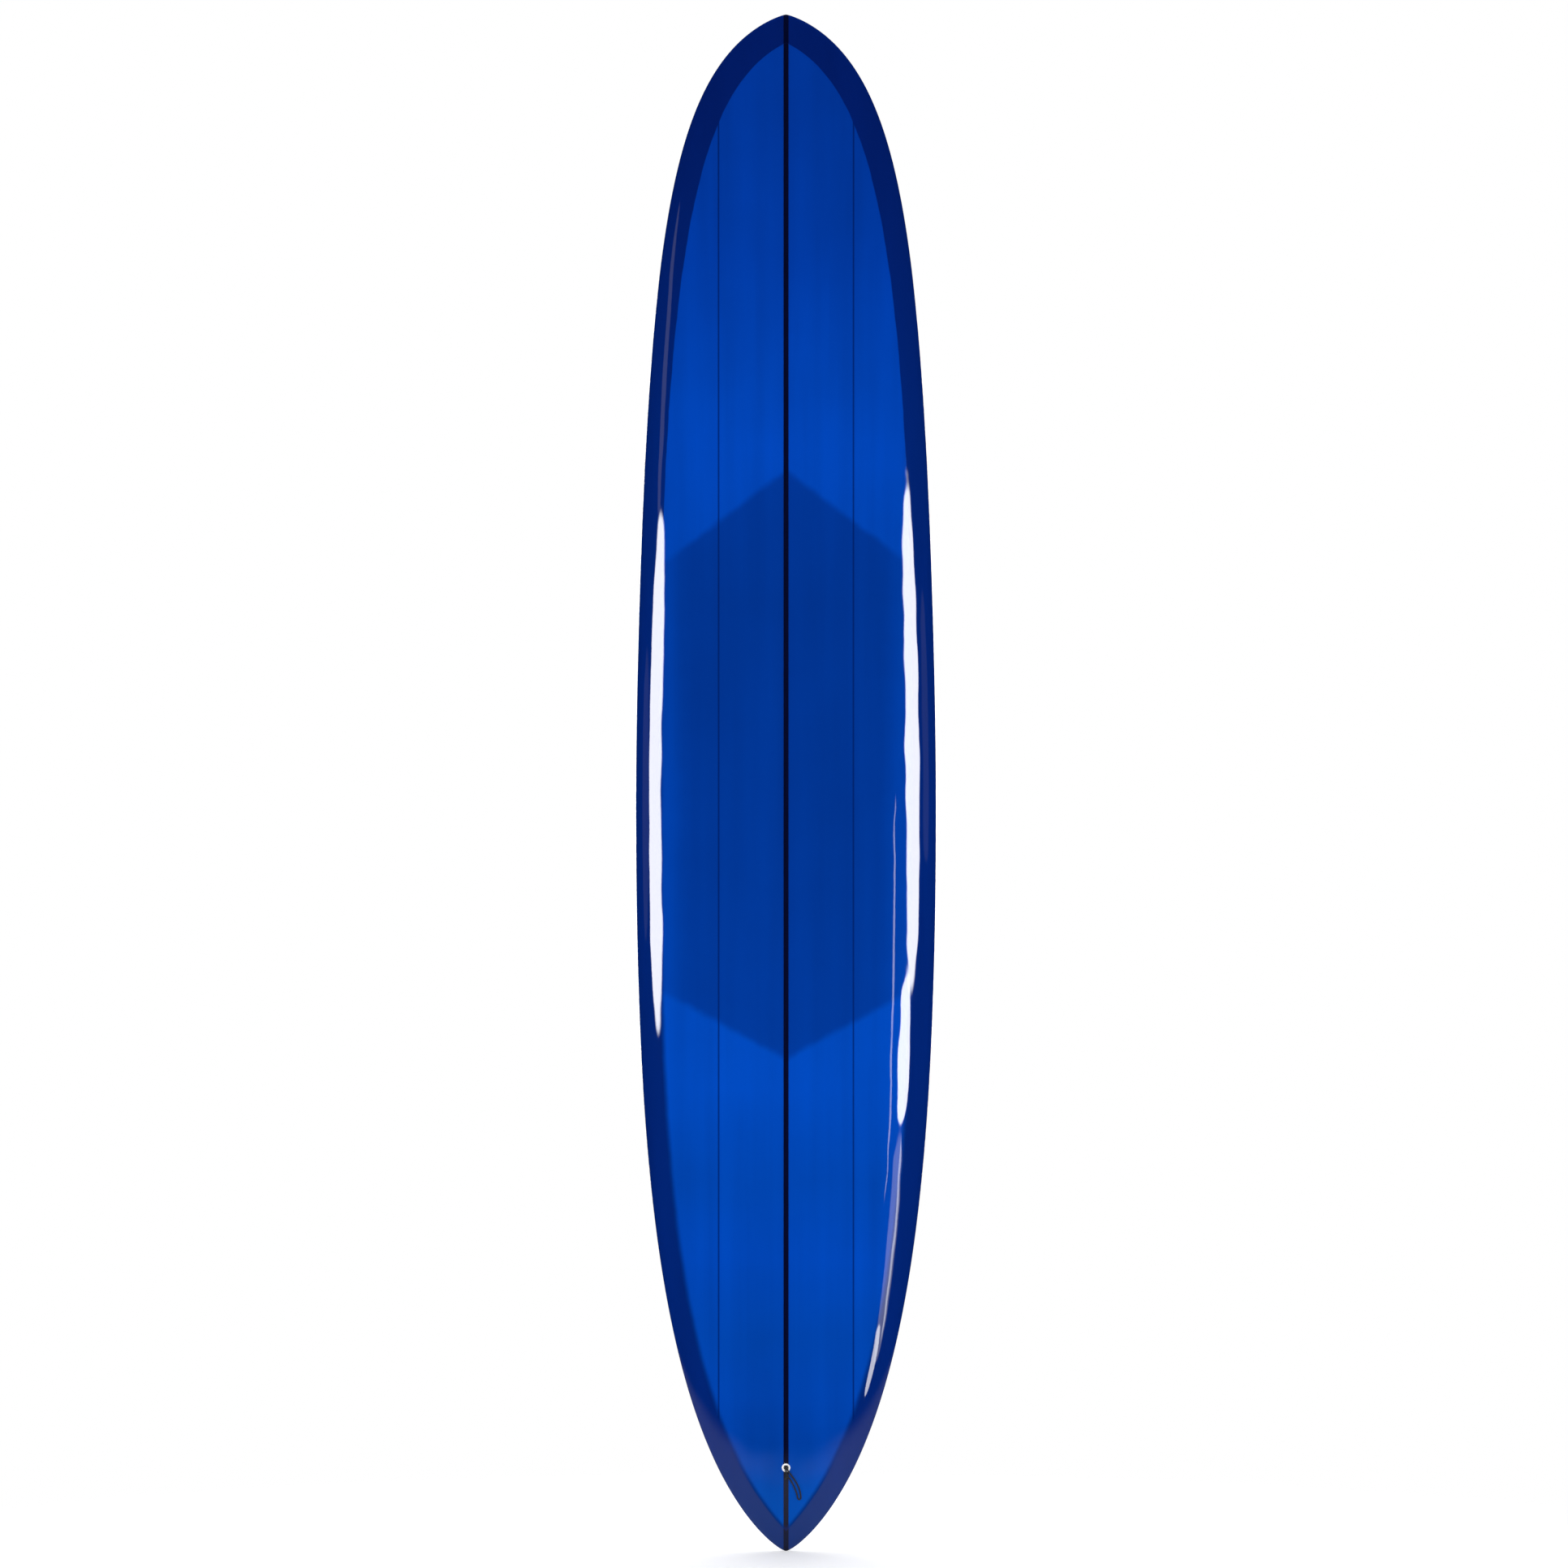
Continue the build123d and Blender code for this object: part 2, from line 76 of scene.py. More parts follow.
# ---- laminate
LAP_HALF_WIDTH = 0.253
LAP_NOSE = 2.992
LAP_TAIL = 0.040
NOSE_LAP = [(LAP_HALF_WIDTH, WIDE_POINT), (LAP_HALF_WIDTH, 2.590), (0.178, 2.904), (0, LAP_NOSE)]
TAIL_LAP = [(LAP_HALF_WIDTH, WIDE_POINT), (LAP_HALF_WIDTH, 0.950), (0.255, 0.300), (0, LAP_TAIL)]
LAP_WANDER = 0.0003  # scale of the hand-cut line's straying
LAP_FADE = 0.1  # height over which its straying dies out at each end
SHELL = 0.0013  # thickness of the bottom laminate: cloth, resin and gloss coat together
PANEL = 0.0008  # depth of the drawn deck skin, which is the deck laminate's thickness over the patch
TAIL_RESIN = 0.012  # length of solid resin and cloth at each tip
NOSE_RESIN = 0.014
BOTTOM_LAP = 0.044  # width of the deck cloth's lap on the bottom
PATCH_TOP = 2.146
PATCH_TOP_CORNER = 1.961
PATCH_LOW_CORNER = 1.110
PATCH_LOW = 0.977
PATCH_HALF_WIDTH = 0.246
CENTRE_STRINGER = 0.0095
SIDE_STRINGER = 0.0032
GLUE_LINE = 0.0004  # dark glue seen along each side of the centre stringer
SIDE_STRINGER_PLACE = 0.1338

# ---- plug and fin box
PLUG_HEIGHT = 0.166
CUP_RADIUS = 0.0084
BOX_HEIGHT = 0.334
POCKET_LENGTH = 0.271
POCKET_WIDTH = 0.0294
FIN_LAYER = 0.0011  # thickness of a layer of glass cloth in the fin
CUT_DEPTH = 0.010  # how far the cutters reach to either side of the skin

# ---- mesh
ROWS = 260
LAP_COLUMNS = 12
BOTTOM_COLUMNS = 26
PANEL_COLUMNS = 40
HALVINGS = 44  # of the range, in the search for a place on a curve
NEARBY = 0.00002  # to either side of a point, for the surface's slope there
MERGE = 0.000001  # points nearer than this are one
TINY = 1e-14  # a normal shorter than this, at a tip, has no direction
RAIL_START = 0.85  # share of the half width past which a section's points are found by depth, not width
SLOPE_STEP = 0.001  # to either side of a height, for the slope of a line there
ON_HULL = 0.8  # least agreement between a face's normal and the hull's for the face to be on the hull

# ---- leash string
CORD = 0.003
KNOT_CORD = 0.9 * CORD  # pulled tight, and so thinner
PLAIT_STRANDS = 8  # each way round
PLAIT_PITCH = 0.0013
PLAIT_RELIEF = 0.16  # depth between the strands, as a share of the radius
PLAIT_SIDES = 40
KNOT_POINTS = 40


# ---- the camera
def make_camera():
    """A long lens, square on to the deck."""
    lens = 200
    view_width = 3.115  # at the board
    aim_x, aim_z = -0.004, 1.5236
    data = bpy.data.cameras.new("camera")
    data.lens = lens
    camera = bpy.data.objects.new("camera", data)
    camera.location = (aim_x, -view_width * lens / data.sensor_width, aim_z)
    camera.rotation_euler = (pi / 2, 0, 0)
    data.clip_end = 100
    bpy.context.scene.collection.objects.link(camera)
    bpy.context.scene.camera = camera


# ---- curves that shape the board
def bezier(points, share):
    """The point a share of the way along a Bezier curve. Any of the numbers may be arrays."""
    while len(points) > 1:
        pairs = zip(points, points[1:])
        points = [(a + (c - a) * share, b + (d - b) * share) for (a, b), (c, d) in pairs]
    return points[0]


def share_at(points, value, axis):
    """How far along a Bezier curve its coordinate on that axis has the value."""
    value = np.asarray(value, float)
    rising = np.asarray(points[-1][axis]) > np.asarray(points[0][axis])
    low, high = np.zeros(value.shape), np.ones(value.shape)
    for _ in range(HALVINGS):
        middle = (low + high) / 2
        before = (bezier(points, middle)[axis] < value) == rising
        low, high = np.where(before, middle, low), np.where(before, high, middle)
    return (low + high) / 2


def across(nose_curve, tail_curve, z):
    """Half the width at z of a shape drawn by two curves that meet at the wide point."""
    nose = bezier(nose_curve, share_at(nose_curve, z, axis=1))[0]
    tail = bezier(tail_curve, share_at(tail_curve, z, axis=1))[0]
    return np.where(z > WIDE_POINT, nose, tail)


def half_width(z):
    return across(NOSE_OUTLINE, TAIL_OUTLINE, z)


def lap_half_width(z):
    """Half the width of the deck's panel at z, out to the cut line."""
    inside = (z > LAP_TAIL) & (z < LAP_NOSE)
    wander = np.sin(z * 53) + 0.6 * np.sin(z * 117 + 1) + 0.5 * np.sin(z * 211 + 2)
    fade = np.clip(np.minimum(z - LAP_TAIL, LAP_NOSE - z) / LAP_FADE, 0, 1)
    return np.where(inside, across(NOSE_LAP, TAIL_LAP, z) + LAP_WANDER * wander * fade, 0)


def thickness(z):
    towards_nose = (z - THICK_POINT) / (LENGTH - THICK_POINT)
    towards_tail = (THICK_POINT - z) / THICK_POINT
    share = np.where(z > THICK_POINT, towards_nose, towards_tail)
    end = np.where(z > THICK_POINT, NOSE_THICKNESS, TAIL_THICKNESS)
    return end + (THICKNESS - end) * (1 - share**FOIL_POWER)


def rocker(z):
    tail = TAIL_ROCKER * (np.maximum(FLAT_POINT - z, 0) / FLAT_POINT) ** TAIL_ROCKER_POWER
    nose = NOSE_ROCKER * (np.maximum(z - FLAT_POINT, 0) / (LENGTH - FLAT_POINT)) ** NOSE_ROCKER_POWER
    return tail + nose


def apex_y(z):
    return TAIL_ROCKER - rocker(z) - APEX_SHARE * (thickness(z) - TAIL_THICKNESS)


def quarters(z):
    """Control points, as (x, y), of the right half's deck and bottom curves in the section at z."""
    z = np.clip(z, 0, LENGTH)
    distance = np.minimum(np.minimum(z, LENGTH - z), TIP_RADIUS)
    thick = thickness(z) * np.sqrt(1 - (1 - distance / TIP_RADIUS) ** 2)
    wide = half_width(z)
    apex = apex_y(z)
    deck = apex - (1 - APEX_SHARE) * thick
    bottom = apex + APEX_SHARE * thick
    deck_rail = apex + (1 - DECK_RAIL) * (deck - apex)
    bottom_rail = apex + BOTTOM_RAIL * (bottom - apex)
    upper = [(0, deck), (DECK_CROWN * wide, deck), (wide, deck_rail), (wide, apex)]
    lower = [(wide, apex), (wide, bottom_rail), (BOTTOM_FLAT * wide, bottom), (0, bottom)]
    return upper, lower


def deck_y(x, z):
    upper = quarters(z)[0]
    return bezier(upper, share_at(upper, np.abs(x), axis=0))[1]


def bottom_y(z):
    return quarters(z)[1][-1][1]


def side_normals(side, x, y, z):
    """Outward normals, of any length, at points of the right half: side 0 is the deck's, 1 the bottom's."""
    curve = quarters(z)[side]
    near_middle = x < RAIL_START * half_width(z)
    share = np.where(near_middle, share_at(curve, x, axis=0), share_at(curve, y, axis=1))
    share = np.clip(share, 2 * NEARBY, 1 - 2 * NEARBY)
    back, on = bezier(curve, share - NEARBY), bezier(curve, share + NEARBY)
    along = np.stack([b - a for a, b in zip(back, on)])
    low, high = np.clip(z - NEARBY, 0, LENGTH), np.clip(z + NEARBY, 0, LENGTH)
    before, after = bezier(quarters(low)[side], share), bezier(quarters(high)[side], share)
    up = np.stack([after[0] - before[0], after[1] - before[1], high - low])
    square = [along[1] * up[2], -along[0] * up[2], along[0] * up[1] - along[1] * up[0]]
    normal = np.stack(square, axis=1)
    facing = normal[:, 0] * x + normal[:, 1] * (y - apex_y(z))
    return normal * np.where(facing < 0, -1, 1)[:, None]


def outward(points):
    """The hull's outward unit normals at points on its surface."""
    x, y, z = np.abs(points[:, 0]), points[:, 1], points[:, 2]
    result = np.zeros(points.shape)
    on_deck = y < apex_y(z)
    for side, mine in ((0, on_deck), (1, ~on_deck)):
        result[mine] = side_normals(side, x, y, z)[mine]
    result[:, 0] *= np.sign(points[:, 0])
    size = np.linalg.norm(result, axis=1)
    tip = size < TINY
    result[tip] = np.stack([0 * z, 0 * z, np.where(z < WIDE_POINT, -1.0, 1.0)], axis=1)[tip]
    size[tip] = 1
    return result / size[:, None]


# ---- the two laminates, as closed skins of quads that share the cut line's points
def row_heights():
    """Heights of the mesh's rows, closer towards the tips, with one at each end of the cut line."""
    heights = LENGTH / 2 * (1 - np.cos(pi * np.arange(ROWS + 1) / ROWS))
    for mark in (TAIL_RESIN, LAP_TAIL, LAP_NOSE, LENGTH - NOSE_RESIN):
        heights[np.argmin(np.abs(heights - mark))] = mark
    return heights


def mesh_object(name, points, faces):
    """A closed mesh object with doubled points merged and its faces turned outward."""
    mesh = bpy.data.meshes.new(name)
    mesh.from_pydata([tuple(point) for point in points], [], faces)
    work = bmesh.new()
    work.from_mesh(mesh)
    bmesh.ops.remove_doubles(work, verts=work.verts, dist=MERGE)
    bmesh.ops.dissolve_degenerate(work, edges=work.edges, dist=MERGE)
    bmesh.ops.remove_doubles(work, verts=work.verts, dist=MERGE)
    bmesh.ops.recalc_face_normals(work, faces=work.faces)
    work.to_mesh(mesh)
    work.free()
    piece = bpy.data.objects.new(name, mesh)
    bpy.context.scene.collection.objects.link(piece)
    return piece


def grid_faces(start, rows, columns, turned=False):
    """Quads of a grid of rows x columns points that begins at start."""
    faces = []
    for row in range(rows - 1):
        for column in range(columns - 1):
            a = start + row * columns + column
            quad = (a, a + 1, a + columns + 1, a + columns)
            faces.append(quad[::-1] if turned else quad)
    return faces


def inner_points(points, depth):
    return points - outward(points) * depth


def deck_skin(heights):
    """The deck's panel inside the cut line."""
    rows = heights[(heights >= LAP_TAIL) & (heights <= LAP_NOSE)]
    z, place = np.meshgrid(rows, np.linspace(-1, 1, PANEL_COLUMNS + 1), indexing="ij")
    x = place * lap_half_width(z)
    outer = np.stack([x, deck_y(x, z), z], axis=-1).reshape(-1, 3)
    columns = PANEL_COLUMNS + 1
    count = len(outer)
    faces = grid_faces(0, len(rows), columns) + grid_faces(count, len(rows), columns, turned=True)
    for row in range(len(rows) - 1):
        for column in (0, PANEL_COLUMNS):
            a = row * columns + column
            faces.append((a, a + columns, a + columns + count, a + count))
    for a in [*range(PANEL_COLUMNS), *range(count - columns, count - 1)]:
        faces.append((a, a + 1, a + 1 + count, a + count))
    return mesh_object("deck_skin", np.concatenate([outer, inner_points(outer, PANEL)]), faces)


def ring(z):
    """Points of the wrap in the section at z, from the right cut edge round the bottom to the left one."""
    z = np.array([z])
    upper, lower = quarters(z)
    start = share_at(upper, lap_half_width(z), axis=0)[0]
    deck = np.linspace(start, 1, LAP_COLUMNS + 1)
    bottom = np.linspace(0, 1, BOTTOM_COLUMNS + 1)[1:]
    right = [bezier(upper, share) for share in deck] + [bezier(lower, share) for share in bottom]
    right = [(float(np.squeeze(x)), float(np.squeeze(y))) for x, y in right]
    left = [(-x, y) for x, y in reversed(right[:-1])]
    return [(x, y, z[0]) for x, y in right + left]


def wrap_skin(heights):
    """The bottom's laminate with the rails and the laps that it turns over onto the deck."""
    columns = 2 * (LAP_COLUMNS + BOTTOM_COLUMNS) + 1
    outer = np.array([ring(z) for z in heights]).reshape(-1, 3)
    inside = (heights >= TAIL_RESIN) & (heights <= LENGTH - NOSE_RESIN)
    first = int(np.argmax(inside))
    rows = int(inside.sum())
    inner = inner_points(outer[first * columns : (first + rows) * columns], SHELL)
    count = len(outer)
    faces = grid_faces(0, len(heights), columns) + grid_faces(count, rows, columns, turned=True)
    for row in range(rows - 1):
        if LAP_TAIL <= heights[first + row] < LAP_NOSE:
            for column in (0, columns - 1):
                a = (first + row) * columns + column
                b = count + row * columns + column
                faces.append((a, a + columns, b + columns, b))
    ends = [count, count + (rows - 1) * columns]
    caps = []
    for number, start in enumerate(ends):
        caps.append(inner[start - count : start - count + columns].mean(axis=0))
        middle = count + len(inner) + number
        faces += [(middle, start + column, start + column + 1) for column in range(columns - 1)]
    return mesh_object("wrap_skin", np.concatenate([outer, inner, caps]), faces)


def surface_plane(height, line, facing):
    """Matrix of a plane that lies on the hull's middle line at a height: X up the board, Z outward."""
    slope = (line(height + SLOPE_STEP) - line(height - SLOPE_STEP)) / (2 * SLOPE_STEP)
    up = Vector((0, slope, 1)).normalized()
    out = Vector((0, facing, -facing * slope)).normalized()
    plane = Matrix((up, out.cross(up), out)).transposed().to_4x4()
    plane.translation = (0, line(height), height)
    return plane


def stadium(length, width, steps=24):
    """Outline of a slot with round ends."""
    reach, radius = (length - width) / 2, width / 2
    turns = [pi * step / steps - pi / 2 for step in range(steps + 1)]
    right = [(reach + radius * cos(turn), radius * sin(turn)) for turn in turns]
    return right + [(-x, -y) for x, y in right]


def circle(radius, steps=72):
    turns = [2 * pi * step / steps for step in range(steps)]
    return [(radius * cos(turn), radius * sin(turn)) for turn in turns]


def cut(piece, outline, plane):
    """Cuts a straight-sided hole of that outline through a skin."""
    count = len(outline)
    points = [plane @ Vector((x, y, end)) for end in (-CUT_DEPTH, CUT_DEPTH) for x, y in outline]
    faces = [(a, (a + 1) % count, (a + 1) % count + count, a + count) for a in range(count)]
    faces += [tuple(reversed(range(count))), tuple(range(count, 2 * count))]
    cutter = mesh_object("cutter", points, faces)
    boolean = piece.modifiers.new("hole", "BOOLEAN")
    boolean.operation = "DIFFERENCE"
    boolean.solver = "EXACT"
    boolean.object = cutter
    cut_mesh = bpy.data.meshes.new_from_object(piece.evaluated_get(bpy.context.evaluated_depsgraph_get()))
    piece.modifiers.clear()
    piece.data = cut_mesh
    bpy.data.objects.remove(cutter)


def polish(piece, **lines):
    """Gives the outer faces the hull's own normals, and each vertex its distance inside each named line."""
    mesh = piece.data
    points = np.empty(3 * len(mesh.vertices))
    mesh.vertices.foreach_get("co", points)
    points = points.reshape(-1, 3)
    for name, line in lines.items():
        inside = line(points[:, 2]) - np.abs(points[:, 0])
        mesh.attributes.new(name, "FLOAT", "POINT").data.foreach_set("value", inside.astype(np.float32))
    smooth = outward(points)
    normals = []
    for face in mesh.polygons:
        towards = smooth[list(face.vertices)].mean(axis=0)
        on_hull = np.dot(face.normal, towards) > ON_HULL
        face.use_smooth = True
        for vertex in face.vertices:
            normals.append(smooth[vertex] if on_hull else np.array(face.normal))
    mesh.normals_split_custom_set([tuple(normal) for normal in normals])


# ---- procedural materials: a Graph's add gives the new node, and its shorthands give an output socket
class Graph:
    def __init__(self, name):
        self.material = bpy.data.materials.new(name)
        self.material.use_nodes = True
        self.tree = self.material.node_tree
        self.shader = self.tree.nodes["Principled BSDF"]
        self.position = self.add("ShaderNodeTexCoord").outputs["Object"]
        self.x, self.y, self.z = self.add("ShaderNodeSeparateXYZ", Vector=self.position).outputs

    def add(self, kind, **inputs):
        node = self.tree.nodes.new(kind)
        for name, value in inputs.items():
            self.put(node.inputs[name], value)
        return node

    def put(self, socket, value):
        if isinstance(value, bpy.types.NodeSocket):
            self.tree.links.new(value, socket)
        else:
            socket.default_value = value

    def math(self, operation, *values):
        node = self.add("ShaderNodeMath")
        node.operation = operation
        for socket, value in zip(node.inputs, values):
            self.put(socket, value)
        return node.outputs[0]

    def plus(self, first, second):
        return self.math("ADD", first, second)

    def minus(self, first, second):
        return self.math("SUBTRACT", first, second)

    def times(self, first, second):
        return self.math("MULTIPLY", first, second)

    def size(self, value):
        return self.math("ABSOLUTE", value)

    def blend(self, value, low, high, first=0.0, last=1.0):
        """Goes smoothly from first to last as the value goes from low to high."""
        node = self.add("ShaderNodeMapRange", Value=value)
        node.interpolation_type = "SMOOTHSTEP"
        for name, number in (("From Min", low), ("From Max", high), ("To Min", first), ("To Max", last)):
            self.put(node.inputs[name], number)
        return node.outputs[0]

    def stretch(self, x, y, z):
        """The position, scaled along each axis."""
        node = self.add("ShaderNodeVectorMath", Vector=self.position)
        node.operation = "MULTIPLY"
        node.inputs[1].default_value = (x, y, z)
        return node.outputs[0]

    def noise(self, vector, scale=1.0, detail=2.0):
        inputs = {"Vector": vector, "Scale": scale, "Detail": detail}
        return self.add("ShaderNodeTexNoise", **inputs).outputs[0]

    def mix(self, share, first, second):
        node = self.add("ShaderNodeMix")
        node.data_type = "RGBA"
        sockets = (node.inputs[0], node.inputs[6], node.inputs[7])
        for socket, value in zip(sockets, (share, first, second)):
            self.put(socket, value)
        return node.outputs[2]

    def ramp(self, value, stops):
        """A colour that runs through (place, colour) stops."""
        node = self.add("ShaderNodeValToRGB", Fac=value)
        points = node.color_ramp.elements
        while len(points) < len(stops):
            points.new(0.5)
        for point, (place, colour) in zip(points, stops):
            point.position = place
            point.color = colour
        return node.outputs[0]

    def scaled(self, colour, factor):
        node = self.add("ShaderNodeVectorMath", Vector=colour)
        node.operation = "SCALE"
        self.put(node.inputs["Scale"], factor)
        return node.outputs[0]

    def attribute(self, name):
        node = self.add("ShaderNodeAttribute")
        node.attribute_name = name
        return node.outputs["Fac"]

    def bump(self, height, distance):
        return self.add("ShaderNodeBump", Height=height, Distance=distance).outputs[0]

    def finish(
        self,
        colour,
        roughness,
        metallic=0.0,
        coat=0.0,
        coat_roughness=0.03,
        specular=0.5,
        sheen=0.0,
        normal=None,
        coat_normal=None,
    ):
        """Sets up the shader and returns the material."""
        values = {
            "Base Color": colour,
            "Roughness": roughness,
            "Metallic": metallic,
            "Coat Weight": coat,
            "Coat Roughness": coat_roughness,
            "Specular IOR Level": specular,
            "Sheen Weight": sheen,
        }
        for name, value in values.items():
            self.put(self.shader.inputs[name], value)
        if normal:
            self.put(self.shader.inputs["Normal"], normal)
        if coat_normal:
            self.put(self.shader.inputs["Coat Normal"], coat_normal)
        return self.material


def rgb(red, green, blue):
    """A colour given as display values from 0 to 255."""
    def linear(value):
        value /= 255
        return value / 12.92 if value < 0.04045 else ((value + 0.055) / 1.055) ** 2.4
    return (linear(red), linear(green), linear(blue), 1)


STRIPE_BLUR = 0.0009  # how softly a stringer's edge shows through the tint
CLOTH_PITCH = 0.0016  # of the laminates' glass cloth
FIN_CLOTH_PITCH = 0.0022
SIDE_STRINGER_TINT = rgb(0, 24, 88)


def stripe(graph, place, width):
    """1 on a strip along the board, centred this far to each side of the middle."""
    away = graph.size(graph.minus(graph.size(graph.x), place))
    return graph.blend(away, width / 2 + STRIPE_BLUR, width / 2 - STRIPE_BLUR)


def centre_stripe(graph):
    """1 on the centre stringer and its glue lines."""
    return stripe(graph, 0, CENTRE_STRINGER + 2 * GLUE_LINE)


def side_stripes(graph):
    """How strongly the two thin stringers show through the tint."""
    return graph.times(stripe(graph, SIDE_STRINGER_PLACE, SIDE_STRINGER), 0.72)


def tinted_wood(graph, dark, light):
    """The centre stringer's grain, as it shows through the tint."""
    return graph.mix(graph.noise(graph.stretch(900, 900, 12), detail=2), dark, light)


def tint_streaks(graph):
    """Long streaks that the squeegee leaves in the tinted resin."""
    return graph.noise(graph.stretch(22, 22, 0.9), detail=3)


def waves(graph):
    """The long shallow unevenness of a hand-sanded gloss coat."""
    return graph.bump(graph.noise(graph.stretch(1, 1, 0.55), scale=14, detail=1), 0.0006)


def gloss_coat(graph, colour, coat):
    """Finishes a laminate: tinted cloth, which doesn't shine itself, under a polished coat."""
    looks = {"roughness": 0.45, "specular": 0.0, "coat_roughness": 0.02}
    return graph.finish(colour, coat=coat, coat_normal=waves(graph), **looks)


def weave(graph, pitch):
    """Plain-woven glass cloth under the resin: threads along and across the board."""
    turn = 2 * pi / pitch
    warp = graph.math("SINE", graph.times(graph.x, turn))
    weft = graph.math("SINE", graph.times(graph.z, turn))
    return graph.times(warp, weft)


def deck_tint_and_painted_shade(graph):
    """The deck's blue along the board. Most of its change is painted shade, darkest towards the nose where
    less light fell; a little is the tint's own.
    """
    return graph.ramp(
        graph.math("DIVIDE", graph.z, LENGTH),
        [
            (0.00, rgb(0, 76, 170)),
            (0.04, rgb(0, 72, 168)),
            (0.07, rgb(0, 61, 158)),
            (0.10, rgb(0, 66, 171)),
            (0.14, rgb(0, 66, 168)),
            (0.19, rgb(0, 70, 183)),
            (0.24, rgb(0, 69, 176)),
            (0.30, rgb(0, 74, 191)),
            (0.62, rgb(0, 69, 181)),
            (0.72, rgb(0, 73, 194)),
            (0.76, rgb(0, 70, 187)),
            (0.84, rgb(0, 64, 178)),
            (0.94, rgb(0, 60, 169)),
        ],
    )


def deck_level(graph, edge, low_down):
    """How light the deck's tint is: streaked, cloudy, woven, and paler beside the lap low down."""
    glow = graph.times(graph.blend(edge, 0.055, 0.012, 0.0, 0.05), low_down)
    streaks = graph.times(tint_streaks(graph), 0.42)
    cloud = graph.times(graph.noise(graph.position, scale=5, detail=3), 0.22)
    threads = graph.times(weave(graph, CLOTH_PITCH), 0.03)
    level = graph.plus(graph.plus(graph.plus(streaks, cloud), 0.68), glow)
    return graph.plus(level, threads)


def patch_shade(graph):
    """1 on the six-sided deck patch, fading towards its side edges, with a frayed outline."""
    fray_depth = 0.014
    reach = graph.size(graph.x)
    fray = graph.times(graph.minus(graph.noise(graph.position, scale=30, detail=4), 0.5), fray_depth)
    top_fall = (PATCH_TOP - PATCH_TOP_CORNER) / PATCH_HALF_WIDTH
    low_rise = (PATCH_LOW_CORNER - PATCH_LOW) / PATCH_HALF_WIDTH
    under_top = graph.minus(graph.minus(PATCH_TOP, graph.times(reach, top_fall)), graph.z)
    over_low = graph.minus(graph.z, graph.plus(PATCH_LOW, graph.times(reach, low_rise)))
    inside = graph.plus(graph.math("MINIMUM", under_top, over_low), fray)
    side = graph.blend(graph.plus(reach, fray), 0.235, 0.180, 0.55, 1.0)
    return graph.times(graph.blend(inside, -0.010, 0.012), side)


def lap_line(graph, edge, low_down):
    """How dark the deck is beside the lap: a sharp line, and low down a soft shade too."""
    sharp = graph.blend(edge, 0.0016, 0.0002, 0.0, 0.55)
    soft = graph.times(graph.blend(edge, 0.0120, 0.0002, 0.0, 0.75), low_down)
    return graph.math("MAXIMUM", sharp, soft)


def deck_material():
    graph = Graph("blue_tint_deck")
    edge = graph.attribute("inside_lap")
    low_down = graph.blend(graph.z, 2.3, 1.2)
    centre = centre_stripe(graph)
    colour = graph.scaled(deck_tint_and_painted_shade(graph), deck_level(graph, edge, low_down))
    colour = graph.mix(graph.times(patch_shade(graph), 0.42), colour, rgb(0, 18, 84))
    colour = graph.mix(side_stripes(graph), colour, SIDE_STRINGER_TINT)
    colour = graph.mix(centre, colour, tinted_wood(graph, rgb(2, 3, 20), rgb(10, 14, 52)))
    colour = graph.mix(lap_line(graph, edge, low_down), colour, rgb(0, 26, 92))
    above_tail = graph.blend(graph.z, 0.12, 0.22, 0.15, 1.0)
    return gloss_coat(graph, colour, graph.math("MAXIMUM", above_tail, centre))


def lap_tint_and_painted_light(graph):
    """The navy of the laps, where the cloth of the two laminates is double. Near the tail tip it is lighter
    and greyer, a painted reflection of the floor, and towards the nose it is darker, painted shade.
    """
    return graph.ramp(
        graph.math("DIVIDE", graph.z, LENGTH),
        [
            (0.02, rgb(14, 46, 113)),
            (0.08, rgb(1, 35, 112)),
            (0.45, rgb(1, 38, 121)),
            (0.72, rgb(1, 38, 121)),
            (0.94, rgb(1, 31, 111)),
        ],
    )


def bottom_panel(graph):
    """1 on the part of the bottom that the deck cloth's laps leave single."""
    ragged = graph.times(graph.noise(graph.position, scale=18), 0.003)
    inside = graph.plus(graph.attribute("inside_rail"), ragged)
    normal = graph.add("ShaderNodeNewGeometry").outputs["Normal"]
    facing_back = graph.add("ShaderNodeSeparateXYZ", Vector=normal).outputs[1]
    on_bottom = graph.blend(facing_back, 0.2, 0.3)
    return graph.times(graph.blend(inside, 0.001, 0.0025), on_bottom)


def wrap_material():
    graph = Graph("navy_laps")
    streaks = graph.noise(graph.stretch(16, 16, 1.5), detail=3)
    level = graph.plus(graph.times(streaks, 0.3), 0.85)
    level = graph.plus(level, graph.times(weave(graph, CLOTH_PITCH), 0.04))
    single = graph.mix(tint_streaks(graph), rgb(0, 56, 156), rgb(0, 66, 172))
    single = graph.mix(side_stripes(graph), single, SIDE_STRINGER_TINT)
    colour = graph.scaled(graph.mix(bottom_panel(graph), lap_tint_and_painted_light(graph), single), level)
    wood = tinted_wood(graph, rgb(1, 2, 16), rgb(6, 9, 44))
    colour = graph.mix(graph.times(centre_stripe(graph), 0.94), colour, wood)
    return gloss_coat(graph, colour, 1.0)


def foam_material():
    graph = Graph("foam")
    cells = graph.noise(graph.position, scale=1400, detail=2)
    colour = graph.mix(cells, rgb(222, 214, 190), rgb(243, 238, 222))
    return graph.finish(colour, roughness=0.9, normal=graph.bump(cells, 0.0002))


def wood_material(name, dark, light):
    graph = Graph(name)
    rings = graph.noise(graph.stretch(60, 60, 1.2), detail=4)
    pores = graph.noise(graph.stretch(1500, 1500, 25), detail=2)
    grain = graph.plus(graph.times(rings, 0.7), graph.times(pores, 0.3))
    return graph.finish(graph.mix(grain, dark, light), roughness=0.6, normal=graph.bump(pores, 0.0001))


